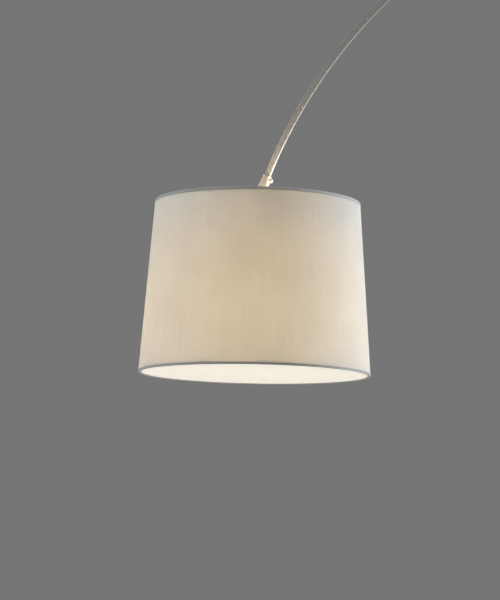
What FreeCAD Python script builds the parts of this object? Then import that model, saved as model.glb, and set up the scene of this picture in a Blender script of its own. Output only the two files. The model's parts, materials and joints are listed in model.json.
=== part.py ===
import FreeCAD, Part
import Sketcher
import math
import os

# Arc floor lamp. Millimetres, +Z up, origin at the centre of the base's underside.
# The arc lies in the XZ plane: mast on the +X side of the origin, shade far out on -X.

DRIVING = [
    ("pad_radius", 182), ("pad_thick", 3),
    ("weight_radius", 185), ("weight_top", 33),
    ("cover_radius", 190), ("cover_top", 35), ("cover_wall", 1.5), ("cover_round", 7), ("cover_low", 4),
    ("pocket_length", 72), ("pocket_width", 44), ("pocket_top", 24), ("lead_level", 15),
    ("mast_x", 110), ("mast_depth", 34), ("mast_width", 17), ("mast_wall", 1.5), ("mast_corner", 3),
    ("mast_foot", 42.2), ("mast_top", 1250),
    ("socket_radius", 48), ("socket_flange", 7), ("socket_depth", 42), ("socket_width", 25),
    ("socket_top", 92),
    ("collar_depth", 40), ("collar_width", 23), ("collar_low", 1204), ("collar_top", 1262),
    ("clamp_level", 1232), ("liner_low", 1186),
    ("arm_radius", 890), ("arm_mean", 17.2), ("arm_taper", 5.5), ("arm_thick", 5), ("arm_wall", 1.1),
    ("arm_round", 0.8), ("arm_tail", 400), ("arm_end", 21.1), ("wire_radius", 0.8), ("wire_pitch", 2.2),
    ("slider_length", 40), ("lead_radius", 2.6),
    ("lean", 22.3), ("pivot_mid", 42.5), ("socket_half", 20),
    ("ear_radius", 9), ("ear_half", 6), ("eye_radius", 8), ("eye_half", 3), ("pin_radius", 2.5),
    ("running_gap", 0.05), ("sleeve_lip", 52.5), ("lip_half", 8.5), ("sleeve_screw_level", 44.8),
    ("rim_level", 1320), ("pivot_level", 1660),
    ("shade_low_radius", 224.5), ("shade_top_radius", 200), ("shade_tall", 334), ("shade_skin", 1.2),
    ("ring_wire", 2), ("ring_inset", 3.2), ("ring_drop", 3.3), ("low_ring_inset", 3.55),
    ("low_ring_level", 2.3),
    ("hub_radius", 18), ("hub_thick", 2.5), ("hub_drop", 32), ("arm_root", 15),
    ("trim_thick", 0.6), ("trim_gap", 0.3), ("top_leg", 5.4), ("low_leg", 3.4), ("low_turn", 5.2),
    ("diffuser_inset", 5.8), ("diffuser_thick", 2.5), ("diffuser_level", 0.3), ("clip_inset", 7.6),
    ("stem_radius", 5), ("stem_bore", 3.5), ("holder_radius", 20), ("bulb_radius", 30), ("bulb_drop", 200),
]

doc = FreeCAD.newDocument("arc_floor_lamp")
sheet = doc.addObject("Spreadsheet::Sheet", "sizes")
for row, (alias, value) in enumerate(DRIVING, start=1):
    sheet.set("A%d" % row, alias)
    sheet.set("B%d" % row, str(value))
    sheet.setAlias("B%d" % row, alias)
doc.recompute()

# places that follow from the driving sizes, as expressions for the objects below
PIVOT_X = ("(sizes.mast_x - sizes.arm_radius * (1 + cos(sizes.lean))"
           " - sizes.pivot_mid * sin(sizes.lean))")
ARC_X = "(sizes.mast_x - sizes.arm_radius)"
ARC_Z = ("(sizes.pivot_level + sizes.pivot_mid * cos(sizes.lean)"
         " - sizes.arm_radius * sin(sizes.lean))")
SLOPE = "((sizes.shade_low_radius - sizes.shade_top_radius) / sizes.shade_tall)"
TAIL_LOW = "(%s - sizes.arm_tail)" % ARC_Z
HALF_DEEP = "((sizes.arm_mean + sizes.arm_taper) / 2)"
HUB_LEVEL = "sizes.shade_tall - sizes.hub_drop"
HUB_FACE = "-(sizes.pivot_level - sizes.rim_level - sizes.shade_tall + sizes.hub_drop)"
TOP_RING = "(sizes.shade_top_radius - sizes.ring_inset)"
LOW_RING = "sizes.shade_low_radius - sizes.low_ring_inset"
ARM_RUN = "(%s - sizes.arm_root)" % TOP_RING
ARM_RISE = "(sizes.hub_drop - sizes.ring_drop - sizes.hub_thick / 2)"

# turns of pieces that lean by a driving size
LEAN = float(sheet.get("lean"))
ARM_PITCH = math.degrees(math.atan2(
    sheet.get("shade_top_radius") - sheet.get("ring_inset") - sheet.get("arm_root"),
    sheet.get("hub_drop") - sheet.get("ring_drop") - sheet.get("hub_thick") / 2))

X_AXIS = FreeCAD.Vector(1, 0, 0)
Y_AXIS = FreeCAD.Vector(0, 1, 0)
Z_AXIS = FreeCAD.Vector(0, 0, 1)
UPRIGHT = FreeCAD.Rotation()
ALONG_X = FreeCAD.Rotation(Y_AXIS, 90)
ALONG_Y = FreeCAD.Rotation(X_AXIS, -90)

sub_parts = []


def keep(thing, name):
    """Name a finished sub-part; its label is also its file's name."""
    thing.Label = name
    sub_parts.append(thing)
    return thing


def place(thing, x="0", y="0", z="0", turn=UPRIGHT):
    thing.Placement = FreeCAD.Placement(FreeCAD.Vector(), turn)
    for axis, text in zip("xyz", (x, y, z)):
        thing.setExpression("Placement.Base." + axis, text)
    return thing


def block(name, length, width, height, x, y, z):
    """A box by its three sizes, placed by the middle of its underside."""
    solid = doc.addObject("Part::Box", name)
    solid.setExpression("Length", length)
    solid.setExpression("Width", width)
    solid.setExpression("Height", height)
    return place(solid, "%s - (%s) / 2" % (x, length), "%s - (%s) / 2" % (y, width), z)


def rod(name, radius, length, x="0", y="0", z="0", turn=UPRIGHT):
    solid = doc.addObject("Part::Cylinder", name)
    solid.setExpression("Radius", radius)
    solid.setExpression("Height", length)
    return place(solid, x, y, z, turn)


def cone(name, low, high, length, x="0", y="0", z="0", turn=UPRIGHT):
    solid = doc.addObject("Part::Cone", name)
    solid.setExpression("Radius1", low)
    solid.setExpression("Radius2", high)
    solid.setExpression("Height", length)
    return place(solid, x, y, z, turn)


def hoop(name, ring, wire, x, y, z):
    solid = doc.addObject("Part::Torus", name)
    solid.setExpression("Radius1", ring)
    solid.setExpression("Radius2", wire)
    return place(solid, x, y, z)


def hexagon(name, across, length, x, y, z, turn=UPRIGHT):
    """A hexagonal prism by its size across flats."""
    solid = doc.addObject("Part::Prism", name)
    solid.Polygon = 6
    solid.setExpression("Circumradius", "(%s) / 2 / cos(30)" % across)
    solid.setExpression("Height", length)
    return place(solid, x, y, z, turn)


def joined(name, *pieces):
    solid = doc.addObject("Part::MultiFuse", name)
    solid.Shapes = list(pieces)
    return solid


def grouped(name, *pieces):
    """Separate solids that share one name."""
    group = doc.addObject("Part::Compound", name)
    group.Links = list(pieces)
    return group


def without(name, solid, *tools):
    tool = tools[0]
    if len(tools) > 1:
        tool = joined(name + "_tools", *tools)
    result = doc.addObject("Part::Cut", name)
    result.Base = solid
    result.Tool = tool
    return result


def new_body(name):
    return doc.addObject("PartDesign::Body", name)


def plane_of(body, role):
    return [item for item in body.Origin.OriginFeatures if item.Role == role][0]


def new_sketch(body, name, role):
    sketch = body.newObject("Sketcher::SketchObject", name)
    sketch.AttachmentSupport = [(plane_of(body, role), "")]
    sketch.MapMode = "FlatFace"
    return sketch


def tie(sketch, geometry, vertex, across, up):
    """Drive one sketch vertex by two expressions; a plain 0 puts it on the axis."""
    for kind, text, axis in (("DistanceX", across, -2), ("DistanceY", up, -1)):
        if text == "0":
            sketch.addConstraint(Sketcher.Constraint("PointOnObject", geometry, vertex, axis))
        else:
            number = sketch.addConstraint(Sketcher.Constraint(kind, -1, 1, geometry, vertex, 5.0))
            sketch.setExpression("Constraints[%d]" % number, text)


def outline(body, name, role, *corners):
    """A closed straight-sided sketch whose corners are pairs of expressions."""
    sketch = new_sketch(body, name, role)
    count = len(corners)
    rough = []
    for number in range(count):
        angle = 2 * math.pi * number / count
        rough.append(FreeCAD.Vector(40 + 20 * math.cos(angle), 40 + 20 * math.sin(angle), 0))
    for number in range(count):
        sketch.addGeometry(Part.LineSegment(rough[number], rough[(number + 1) % count]), False)
    for number in range(count):
        after = (number + 1) % count
        sketch.addConstraint(Sketcher.Constraint("Coincident", number, 2, after, 1))
    for number, (across, up) in enumerate(corners):
        tie(sketch, number, 1, across, up)
    return sketch


def disc_sketch(body, name, role, across, up, radius):
    sketch = new_sketch(body, name, role)
    sketch.addGeometry(Part.Circle(FreeCAD.Vector(5, 5, 0), Z_AXIS, 3), False)
    tie(sketch, 0, 3, across, up)
    number = sketch.addConstraint(Sketcher.Constraint("Radius", 0, 3.0))
    sketch.setExpression("Constraints[%d]" % number, radius)
    return sketch


def pad(body, sketch, length):
    """Material either side of the sketch's plane."""
    feature = body.newObject("PartDesign::Pad", sketch.Name + "_pad")
    feature.Profile = sketch
    feature.setExpression("Length", length)
    feature.Midplane = True
    sketch.Visibility = False
    return feature


def pocket(body, sketch, length):
    feature = body.newObject("PartDesign::Pocket", sketch.Name + "_pocket")
    feature.Profile = sketch
    feature.setExpression("Length", length)
    feature.Midplane = True
    return feature


def turned(name, *corners):
    """A body of revolution about its own Z from a half outline in XZ."""
    body = new_body(name)
    sketch = outline(body, name + "_half", "XZ_Plane", *corners)
    feature = body.newObject("PartDesign::Revolution", name + "_turn")
    feature.Profile = sketch
    feature.ReferenceAxis = (sketch, ["V_Axis"])
    feature.Angle = 360
    return body


def softened(body, name, radius, wanted):
    """Round the edges of the body's last feature that wanted(edge) picks."""
    doc.recompute()
    last = body.Tip
    edges = ["Edge%d" % (number + 1) for number, edge in enumerate(last.Shape.Edges) if wanted(edge)]
    feature = body.newObject("PartDesign::Fillet", name)
    feature.Base = (last, edges)
    feature.setExpression("Radius", radius)
    return feature


def runs_along(direction, least):
    def wanted(edge):
        if edge.Length < least:
            return False
        run = edge.Vertexes[-1].Point - edge.Vertexes[0].Point
        return run.Length > least * 0.9 and abs(run.normalize() * direction) > 0.97
    return wanted


# ---------------------------------------------------------------- base


def build_base():
    pad_disc = rod("base_pad", "sizes.pad_radius", "sizes.pad_thick")
    keep(pad_disc, "base_pad")

    disc = rod("weight_disc", "sizes.weight_radius", "sizes.weight_top - sizes.pad_thick",
               z="sizes.pad_thick")
    hollow = block("weight_hollow", "sizes.pocket_length", "sizes.pocket_width",
                   "sizes.pocket_top - sizes.pad_thick", "sizes.mast_x", "0", "sizes.pad_thick")
    channel = rod("weight_channel", "9", "100", x="sizes.mast_x", z="sizes.lead_level", turn=ALONG_X)
    lead_hole = rod("weight_lead_hole", "6", "40", x="sizes.mast_x")
    holes = [rod("weight_bolt_hole", "3.3", "14", x, y, "sizes.weight_top - 12") for x, y in bolt_places()]
    keep(without("weight", disc, hollow, channel, lead_hole, *holes), "base_weight")

    shell = turned("cover_shell",
                   ("0", "sizes.weight_top"), ("sizes.cover_radius - sizes.cover_wall", "sizes.weight_top"),
                   ("sizes.cover_radius - sizes.cover_wall", "sizes.cover_low"),
                   ("sizes.cover_radius", "sizes.cover_low"), ("sizes.cover_radius", "sizes.cover_top"),
                   ("0", "sizes.cover_top"))
    softened(shell, "cover_edge", "sizes.cover_round",
             lambda edge: abs(edge.BoundBox.ZMin - 35) < 0.01 and edge.BoundBox.XLength > 300)
    cover_lead = rod("cover_lead_hole", "6.5", "8", x="sizes.mast_x", z="sizes.weight_top - 3")
    side = rod("cover_side_hole", "6.2", "30", x="sizes.cover_radius - 15", z="sizes.lead_level",
               turn=ALONG_X)
    holes = [rod("cover_bolt_hole", "3.3", "8", x, y, "sizes.weight_top - 3") for x, y in bolt_places()]
    keep(without("cover", shell, cover_lead, side, *holes), "base_cover")


def bolt_places():
    """Four screws on a square round the mast's foot."""
    out = 35 / math.sqrt(2)
    return [("sizes.mast_x + %.4f" % (out * i), "%.4f" % (out * j)) for i in (-1, 1) for j in (-1, 1)]


def build_cord_entry():
    """Strain relief for the mains lead, its clamp and the terminals it ends in."""
    inner = rod("gland_inner", "8", "3", x="sizes.cover_radius - 7", z="sizes.lead_level", turn=ALONG_X)
    neck = rod("gland_neck", "5.9", "8", x="sizes.cover_radius - 6", z="sizes.lead_level", turn=ALONG_X)
    collar = rod("gland_collar", "8.5", "3", x="sizes.cover_radius + 0.3", z="sizes.lead_level",
                 turn=ALONG_X)
    tail = cone("gland_tail", "7", "5", "20", x="sizes.cover_radius + 3", z="sizes.lead_level", turn=ALONG_X)
    hole = rod("gland_bore", "3.5", "60", x="sizes.cover_radius - 20", z="sizes.lead_level", turn=ALONG_X)
    keep(without("gland", joined("gland_solid", inner, neck, collar, tail), hole), "cord_gland")

    saddle = block("clamp_saddle", "10", "30", "7", "sizes.mast_x + 25", "0", "sizes.lead_level")
    groove = rod("clamp_groove", "3.4", "20", x="sizes.mast_x + 15", z="sizes.lead_level", turn=ALONG_X)
    holes = [rod("clamp_hole", "2", "20", "sizes.mast_x + 25", y, "5") for y in ("-10", "10")]
    keep(without("clamp", saddle, groove, *holes), "cord_clamp")
    screws = []
    for y in ("-10", "10"):
        shank = rod("clamp_shank", "1.7", "7", "sizes.mast_x + 25", y, "sizes.lead_level")
        head = rod("clamp_head", "3.4", "2.4", "sizes.mast_x + 25", y, "sizes.lead_level - 2.4")
        screws.append(joined("clamp_screw", shank, head))
    keep(grouped("clamp_pair", *screws), "clamp_screws")

    strip = block("terminal_strip", "18", "32", "9", "sizes.mast_x - 6", "0", "5")
    wells = []
    screws = []
    for y in ("-10", "0", "10"):
        wells.append(rod("terminal_way", "1.6", "30", "sizes.mast_x - 20", y, "8.2", turn=ALONG_X))
        wells.append(rod("terminal_well", "2.1", "8", "sizes.mast_x - 10", y, "9.9"))
        screws.append(rod("terminal_screw", "1.9", "3", "sizes.mast_x - 10", y, "10.2"))
    keep(without("terminal", strip, *wells), "terminal_block")
    keep(grouped("terminal_three", *screws), "terminal_screws")


# ---------------------------------------------------------------- mast


def build_mast():
    mast = new_body("mast")
    section = outline(mast, "mast_section", "XY_Plane",
                      ("-sizes.mast_depth / 2", "-sizes.mast_width / 2"),
                      ("sizes.mast_depth / 2", "-sizes.mast_width / 2"),
                      ("sizes.mast_depth / 2", "sizes.mast_width / 2"),
                      ("-sizes.mast_depth / 2", "sizes.mast_width / 2"))
    tall = mast.newObject("PartDesign::Pad", "mast_tall")
    tall.Profile = section
    tall.setExpression("Length", "sizes.mast_top - sizes.mast_foot")
    softened(mast, "mast_corners", "sizes.mast_corner", runs_along(Z_AXIS, 500))
    bore = outline(mast, "mast_bore", "XY_Plane",
                   ("-sizes.mast_depth / 2 + sizes.mast_wall", "-sizes.mast_width / 2 + sizes.mast_wall"),
                   ("sizes.mast_depth / 2 - sizes.mast_wall", "-sizes.mast_width / 2 + sizes.mast_wall"),
                   ("sizes.mast_depth / 2 - sizes.mast_wall", "sizes.mast_width / 2 - sizes.mast_wall"),
                   ("-sizes.mast_depth / 2 + sizes.mast_wall", "sizes.mast_width / 2 - sizes.mast_wall"))
    hollow = mast.newObject("PartDesign::Pocket", "mast_hollow")
    hollow.Profile = bore
    hollow.Type = "ThroughAll"
    hollow.Midplane = True
    place(mast, "sizes.mast_x", "0", "sizes.mast_foot")
    screw_hole = rod("mast_screw_hole", "3.5", "10", "sizes.mast_x + 12", "0", "sizes.clamp_level", ALONG_X)
    keep(without("mast_drilled", mast, screw_hole), "mast_tube")


def build_mast_socket():
    """Foot casting: a round flange with a rectangular well for the mast."""
    flange = turned("socket_flange_disc",
                    ("0", "sizes.cover_top"), ("sizes.socket_radius", "sizes.cover_top"),
                    ("sizes.socket_radius", "sizes.cover_top + sizes.socket_flange"),
                    ("0", "sizes.cover_top + sizes.socket_flange"))
    softened(flange, "socket_flange_edge", "2.5",
             lambda edge: edge.BoundBox.ZMin > 40 and edge.BoundBox.XLength > 80)
    place(flange, "sizes.mast_x")
    well = new_body("socket_well")
    section = outline(well, "socket_section", "XY_Plane",
                      ("-sizes.socket_depth / 2", "-sizes.socket_width / 2"),
                      ("sizes.socket_depth / 2", "-sizes.socket_width / 2"),
                      ("sizes.socket_depth / 2", "sizes.socket_width / 2"),
                      ("-sizes.socket_depth / 2", "sizes.socket_width / 2"))
    rise = well.newObject("PartDesign::Pad", "socket_rise")
    rise.Profile = section
    rise.setExpression("Length", "sizes.socket_top - sizes.cover_top")
    softened(well, "socket_corners", "4", runs_along(Z_AXIS, 40))
    place(well, "sizes.mast_x", "0", "sizes.cover_top")
    cavity = block("socket_cavity", "sizes.mast_depth + 0.3", "sizes.mast_width + 0.3", "100",
                   "sizes.mast_x", "0", "sizes.mast_foot")
    lead_hole = rod("socket_lead_hole", "5", "30", "sizes.mast_x", "0", "sizes.cover_top - 5")
    holes = [rod("socket_bolt_hole", "3.3", "20", x, y, "sizes.cover_top - 3") for x, y in bolt_places()]
    grub_levels = ("sizes.cover_top + 22", "sizes.cover_top + 42")
    holes += [rod("socket_grub_hole", "2.05", "12", "sizes.mast_x + 14", "0", level, ALONG_X)
              for level in grub_levels]
    keep(without("socket", joined("socket_solid", flange, well), cavity, lead_hole, *holes), "mast_socket")

    screws = []
    for x, y in bolt_places():
        shank = rod("socket_screw_shank", "3", "18", x, y, "sizes.weight_top - 9")
        head = rod("socket_screw_head", "5", "5", x, y, "sizes.cover_top + sizes.socket_flange")
        drive = hexagon("socket_screw_drive", "5", "4", x, y, "sizes.cover_top + sizes.socket_flange + 2")
        screws.append(without("socket_screw", joined("socket_screw_solid", shank, head), drive))
    keep(grouped("socket_screw_four", *screws), "socket_screws")
    grubs = []
    for level in grub_levels:
        length = "(sizes.socket_depth - sizes.mast_depth) / 2"
        grub = rod("grub", "2", length, "sizes.mast_x + sizes.mast_depth / 2", "0", level, ALONG_X)
        drive = hexagon("grub_drive", "2", "3", "sizes.mast_x + sizes.socket_depth / 2 - 2", "0", level,
                        ALONG_X)
        grubs.append(without("grub_screw", grub, drive))
    keep(grouped("grub_pair", *grubs), "socket_grub_screws")


def tail_slot(name, low, room):
    """The slot that the arm's flat tail slides in, with some room all round."""
    return block(name, "2 * %s + %s" % (HALF_DEEP, room), "sizes.arm_thick + %s" % room, "200",
                 "sizes.mast_x", "0", low)


def build_mast_head():
    """Nylon liner, outer collar with a lip, and the clamp screw with its pressure pad."""
    lower = block("liner_shaft", "sizes.mast_depth - 2 * sizes.mast_wall - 0.2",
                  "sizes.mast_width - 2 * sizes.mast_wall - 0.2", "sizes.mast_top - sizes.liner_low",
                  "sizes.mast_x", "0", "sizes.liner_low")
    brim = block("liner_brim", "sizes.mast_depth", "sizes.mast_width", "3", "sizes.mast_x", "0",
                 "sizes.mast_top")
    slot = tail_slot("liner_slot", "sizes.liner_low - 5", "0.4")
    pad_hole = rod("liner_pad_hole", "3.3", "12", "sizes.mast_x + 8", "0", "sizes.clamp_level", ALONG_X)
    keep(without("liner", joined("liner_solid", lower, brim), slot, pad_hole), "mast_liner")

    ring = new_body("collar_ring")
    section = outline(ring, "collar_section", "XY_Plane",
                      ("-sizes.collar_depth / 2", "-sizes.collar_width / 2"),
                      ("sizes.collar_depth / 2", "-sizes.collar_width / 2"),
                      ("sizes.collar_depth / 2", "sizes.collar_width / 2"),
                      ("-sizes.collar_depth / 2", "sizes.collar_width / 2"))
    rise = ring.newObject("PartDesign::Pad", "collar_rise")
    rise.Profile = section
    rise.setExpression("Length", "sizes.collar_top - sizes.collar_low")
    softened(ring, "collar_corners", "4.5", runs_along(Z_AXIS, 40))
    place(ring, "sizes.mast_x", "0", "sizes.collar_low")
    lip = new_body("collar_lip")
    section = outline(lip, "collar_lip_section", "XY_Plane",
                      ("-sizes.collar_depth / 2 - 1.5", "-sizes.collar_width / 2 - 1.5"),
                      ("sizes.collar_depth / 2 + 1.5", "-sizes.collar_width / 2 - 1.5"),
                      ("sizes.collar_depth / 2 + 1.5", "sizes.collar_width / 2 + 1.5"),
                      ("-sizes.collar_depth / 2 - 1.5", "sizes.collar_width / 2 + 1.5"))
    rise = lip.newObject("PartDesign::Pad", "collar_lip_rise")
    rise.Profile = section
    rise.Length = 4
    softened(lip, "collar_lip_corners", "5.5", lambda edge: edge.BoundBox.ZLength > 3.5)
    place(lip, "sizes.mast_x", "0", "sizes.collar_top - 4")
    cavity = block("collar_cavity", "sizes.mast_depth + 0.3", "sizes.mast_width + 0.3",
                   "sizes.mast_top + 3 - sizes.collar_low + 5", "sizes.mast_x", "0", "sizes.collar_low - 5")
    slot = tail_slot("collar_slot", "sizes.collar_low", "1")
    thread = rod("collar_thread", "3 + sizes.running_gap", "12", "sizes.mast_x + 14", "0",
                 "sizes.clamp_level", ALONG_X)
    keep(without("collar", joined("collar_solid", ring, lip), cavity, slot, thread), "mast_collar")

    press, screw = thumb_screw("mast", HALF_DEEP + " + 0.1", "sizes.clamp_level", 2.9, 3.5, 3, 8.4, 9, 8)
    place(press, "sizes.mast_x")
    place(screw, "sizes.mast_x")


def thumb_screw(owner, start, height, press_radius, press_length, shank_radius, shank_length, head_radius,
                head_length):
    """A pressure pad and the screw behind it, pointing out along +X from start at a height."""
    disc = rod(owner + "_press_disc", "%s" % press_radius, "%s" % press_length, start, "0", height, ALONG_X)
    press = keep(grouped(owner + "_press", disc), owner + "_screw_pad")
    tip = "%s + %s" % (start, press_length + 0.05)
    under = "%s + %s" % (tip, shank_length)
    groove_at = "%s + %s" % (under, head_length * 0.44)
    shank = rod(owner + "_shank", "%s" % shank_radius, "%s" % (shank_length + 0.5), tip, "0", height,
                ALONG_X)
    head = rod(owner + "_head", "%s" % head_radius, "%s" % head_length, under, "0", height, ALONG_X)
    ring = rod(owner + "_ring", "%s" % (head_radius + 1), "%s" % (head_length * 0.12), groove_at, "0",
               height, ALONG_X)
    core = rod(owner + "_core", "%s" % (head_radius * 0.93), "%s" % (head_length * 0.12), groove_at, "0",
               height, ALONG_X)
    slot = block(owner + "_drive", "%s" % head_length, "%s" % (head_radius * 3), "%s" % (head_radius * 0.24),
                 "%s + %s" % (under, head_length * 1.3), "0", "%s - %s" % (height, head_radius * 0.12))
    solid = joined(owner + "_screw_solid", shank, head)
    screw = without(owner + "_screw_cut", solid, without(owner + "_groove", ring, core), slot)
    return press, keep(screw, owner + "_screw")


# ---------------------------------------------------------------- arm


def level(sketch, geometry, vertex, text):
    """Drive a sketch vertex's height above the origin."""
    number = sketch.addConstraint(Sketcher.Constraint("DistanceY", -1, 1, geometry, vertex, 1300.0))
    sketch.setExpression("Constraints[%d]" % number, text)


def arm_sketch(body, name, inset, end_angle, low):
    """Two arcs whose centres stand apart by the taper, closed by a straight tail and an end."""
    sketch = new_sketch(body, name, "XZ_Plane")
    for number, (sign, rough) in enumerate((("+", 898.0), ("-", 881.0))):
        ring = Part.Circle(FreeCAD.Vector(-780, 1361, 0), Z_AXIS, rough)
        sketch.addGeometry(Part.ArcOfCircle(ring, 0.0, math.radians(159)), False)
        centre = "%s %s sizes.arm_taper / 2" % (ARC_X, sign)
        radius = "sizes.arm_radius %s (sizes.arm_mean / 2 - %s)" % (sign, inset)
        tie(sketch, number, 3, centre, ARC_Z)
        fixed = sketch.addConstraint(Sketcher.Constraint("Radius", number, rough))
        sketch.setExpression("Constraints[%d]" % fixed, radius)
        level(sketch, number, 1, ARC_Z)
        level(sketch, number, 2, "%s + (%s) * sin(%s)" % (ARC_Z, radius, end_angle))
    tail = [FreeCAD.Vector(x, z, 0) for x, z in ((121, 1361), (121, 961), (99, 961), (99, 1361))]
    tip = [FreeCAD.Vector(x, z, 0) for x, z in ((-1617, 1683), (-1605, 1677))]
    for first, second in list(zip(tail, tail[1:])) + [tip]:
        sketch.addGeometry(Part.LineSegment(first, second), False)
    for first, end, second, start in ((0, 1, 2, 1), (2, 2, 3, 1), (3, 2, 4, 1), (4, 2, 1, 1),
                                      (0, 2, 5, 1), (5, 2, 1, 2)):
        sketch.addConstraint(Sketcher.Constraint("Coincident", first, end, second, start))
    sketch.addConstraint(Sketcher.Constraint("Vertical", 2))
    sketch.addConstraint(Sketcher.Constraint("Horizontal", 3))
    sketch.addConstraint(Sketcher.Constraint("Vertical", 4))
    level(sketch, 3, 1, low)
    return sketch


def build_arm():
    """Flat bar bent to an arc, hollow for the wires, with a straight tail in the mast."""
    bar = new_body("arm_bar_body")
    pad(bar, arm_sketch(bar, "arm_outline", "0", "sizes.arm_end", TAIL_LOW), "sizes.arm_thick")
    softened(bar, "arm_edges", "sizes.arm_round", lambda edge: edge.Length > 300)
    inside = arm_sketch(bar, "arm_cavity", "sizes.arm_wall", "sizes.arm_end - 1", TAIL_LOW + " - 10")
    pocket(bar, inside, "sizes.arm_thick - 2 * sizes.arm_wall")
    rivet = disc_sketch(bar, "arm_rivet_hole", "XZ_Plane", "sizes.mast_x + 7.5", TAIL_LOW + " + 14", "2.05")
    pocket(bar, rivet, "20")
    keep(bar, "arm_bar")

    wires = []
    for row in (-1, 0, 1):
        offset = "%d * sizes.wire_pitch" % row
        curve = doc.addObject("Part::Torus", "wire_curve")
        curve.setExpression("Radius1", "sizes.arm_radius + %s" % offset)
        curve.setExpression("Radius2", "sizes.wire_radius")
        curve.setExpression("Angle3", "180 - sizes.arm_end - 0.1")
        # the ring's own axis is turned to -Y, so that it sweeps up from +X and over to -X
        place(curve, ARC_X, "0", ARC_Z, FreeCAD.Rotation(X_AXIS, 90))
        tail = rod("wire_tail", "sizes.wire_radius", "sizes.arm_tail - 1", "sizes.mast_x + %s" % offset, "0",
                   TAIL_LOW + " + 1")
        wires.append(joined("wire", curve, tail))
    keep(grouped("wire_three", *wires), "arm_wires")

    body = block("slider_solid", "sizes.mast_depth - 2 * sizes.mast_wall - 0.4",
                 "sizes.mast_width - 2 * sizes.mast_wall - 0.4", "sizes.slider_length", "sizes.mast_x", "0",
                 TAIL_LOW + " - 6")
    slot = tail_slot("slider_slot", TAIL_LOW, "0.2")
    way = rod("slider_way", "4", "20", "sizes.mast_x", "0", TAIL_LOW + " - 10")
    hole = rod("slider_rivet_hole", "2.05", "30", "sizes.mast_x + 7.5", "-15", TAIL_LOW + " + 14", ALONG_Y)
    keep(without("slider", body, slot, way, hole), "arm_slider")
    rivet = rod("rivet_pin", "2", "13", "sizes.mast_x + 7.5", "-6.5", TAIL_LOW + " + 14", ALONG_Y)
    keep(rivet, "slider_rivet")
    lead = rod("lead", "sizes.lead_radius", TAIL_LOW + " - 6 - 14.2", "sizes.mast_x", "0", "14.2")
    keep(lead, "mast_lead")


# ---------------------------------------------------------------- end sleeve and tilting knuckle


def lean_in(thing):
    """Move a piece built upright at the pivot to the pivot, leaning along the arm's end."""
    return place(thing, PIVOT_X, "0", "sizes.pivot_level", FreeCAD.Rotation(Y_AXIS, LEAN))


def build_sleeve():
    sleeve = new_body("sleeve_body")
    shape = outline(sleeve, "sleeve_side", "XZ_Plane",
                    ("-sizes.ear_radius", "0"), ("sizes.ear_radius", "0"),
                    ("sizes.ear_radius + 0.3", "32"), ("7.8", "46.5"), ("7.8", "50"),
                    ("-7.8", "50"), ("-7.8", "46.5"), ("-sizes.ear_radius - 0.3", "32"))
    pad(sleeve, shape, "2 * sizes.ear_half")
    softened(sleeve, "sleeve_corners", "3.2", runs_along(Z_AXIS, 3))
    lip = outline(sleeve, "sleeve_lip_section", "XZ_Plane",
                  ("-sizes.lip_half", "sizes.sleeve_lip - 3.2"),
                  ("sizes.lip_half", "sizes.sleeve_lip - 3.2"),
                  ("sizes.lip_half", "sizes.sleeve_lip"), ("-sizes.lip_half", "sizes.sleeve_lip"))
    pad(sleeve, lip, "14.6")
    softened(sleeve, "sleeve_lip_corners", "4",
             lambda edge: edge.BoundBox.ZMin > sheet.get("sleeve_lip") - 3.5 and edge.BoundBox.ZLength > 2.9
             and abs(abs(edge.BoundBox.XMin) - sheet.get("lip_half")) < 0.05)
    ears = disc_sketch(sleeve, "sleeve_ears", "XZ_Plane", "0", "0", "sizes.ear_radius")
    pad(sleeve, ears, "2 * sizes.ear_half")
    slot = outline(sleeve, "sleeve_fork", "XZ_Plane", ("-15", "-12"), ("15", "-12"), ("15", "10.6"),
                   ("-15", "10.6"))
    pocket(sleeve, slot, "2 * sizes.eye_half + 0.3")
    bolt_hole = disc_sketch(sleeve, "sleeve_bolt_hole", "XZ_Plane", "0", "0",
                            "sizes.pin_radius + sizes.running_gap")
    pocket(sleeve, bolt_hole, "40")
    seat = outline(sleeve, "sleeve_seat", "XZ_Plane", ("-6.6", "sizes.pivot_mid - sizes.socket_half"),
                   ("6.6", "sizes.pivot_mid - sizes.socket_half"), ("6.6", "60"), ("-6.6", "60"))
    pocket(sleeve, seat, "sizes.arm_thick + 0.4")
    wire_way = rod("sleeve_wire_way", "2.6", "20", z="8")
    thread = rod("sleeve_thread", "2 + sizes.running_gap", "12", x="4", z="sizes.sleeve_screw_level",
                 turn=ALONG_X)
    lean_in(keep(without("sleeve", sleeve, wire_way, thread), "end_sleeve"))
    press, screw = thumb_screw("sleeve", "6.75", "sizes.sleeve_screw_level", 1.95, 1, 2, 2.1, 3.6, 4)
    lean_in(press)
    lean_in(screw)


def at_pivot(thing):
    return place(thing, PIVOT_X, "0", "sizes.pivot_level")


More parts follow.
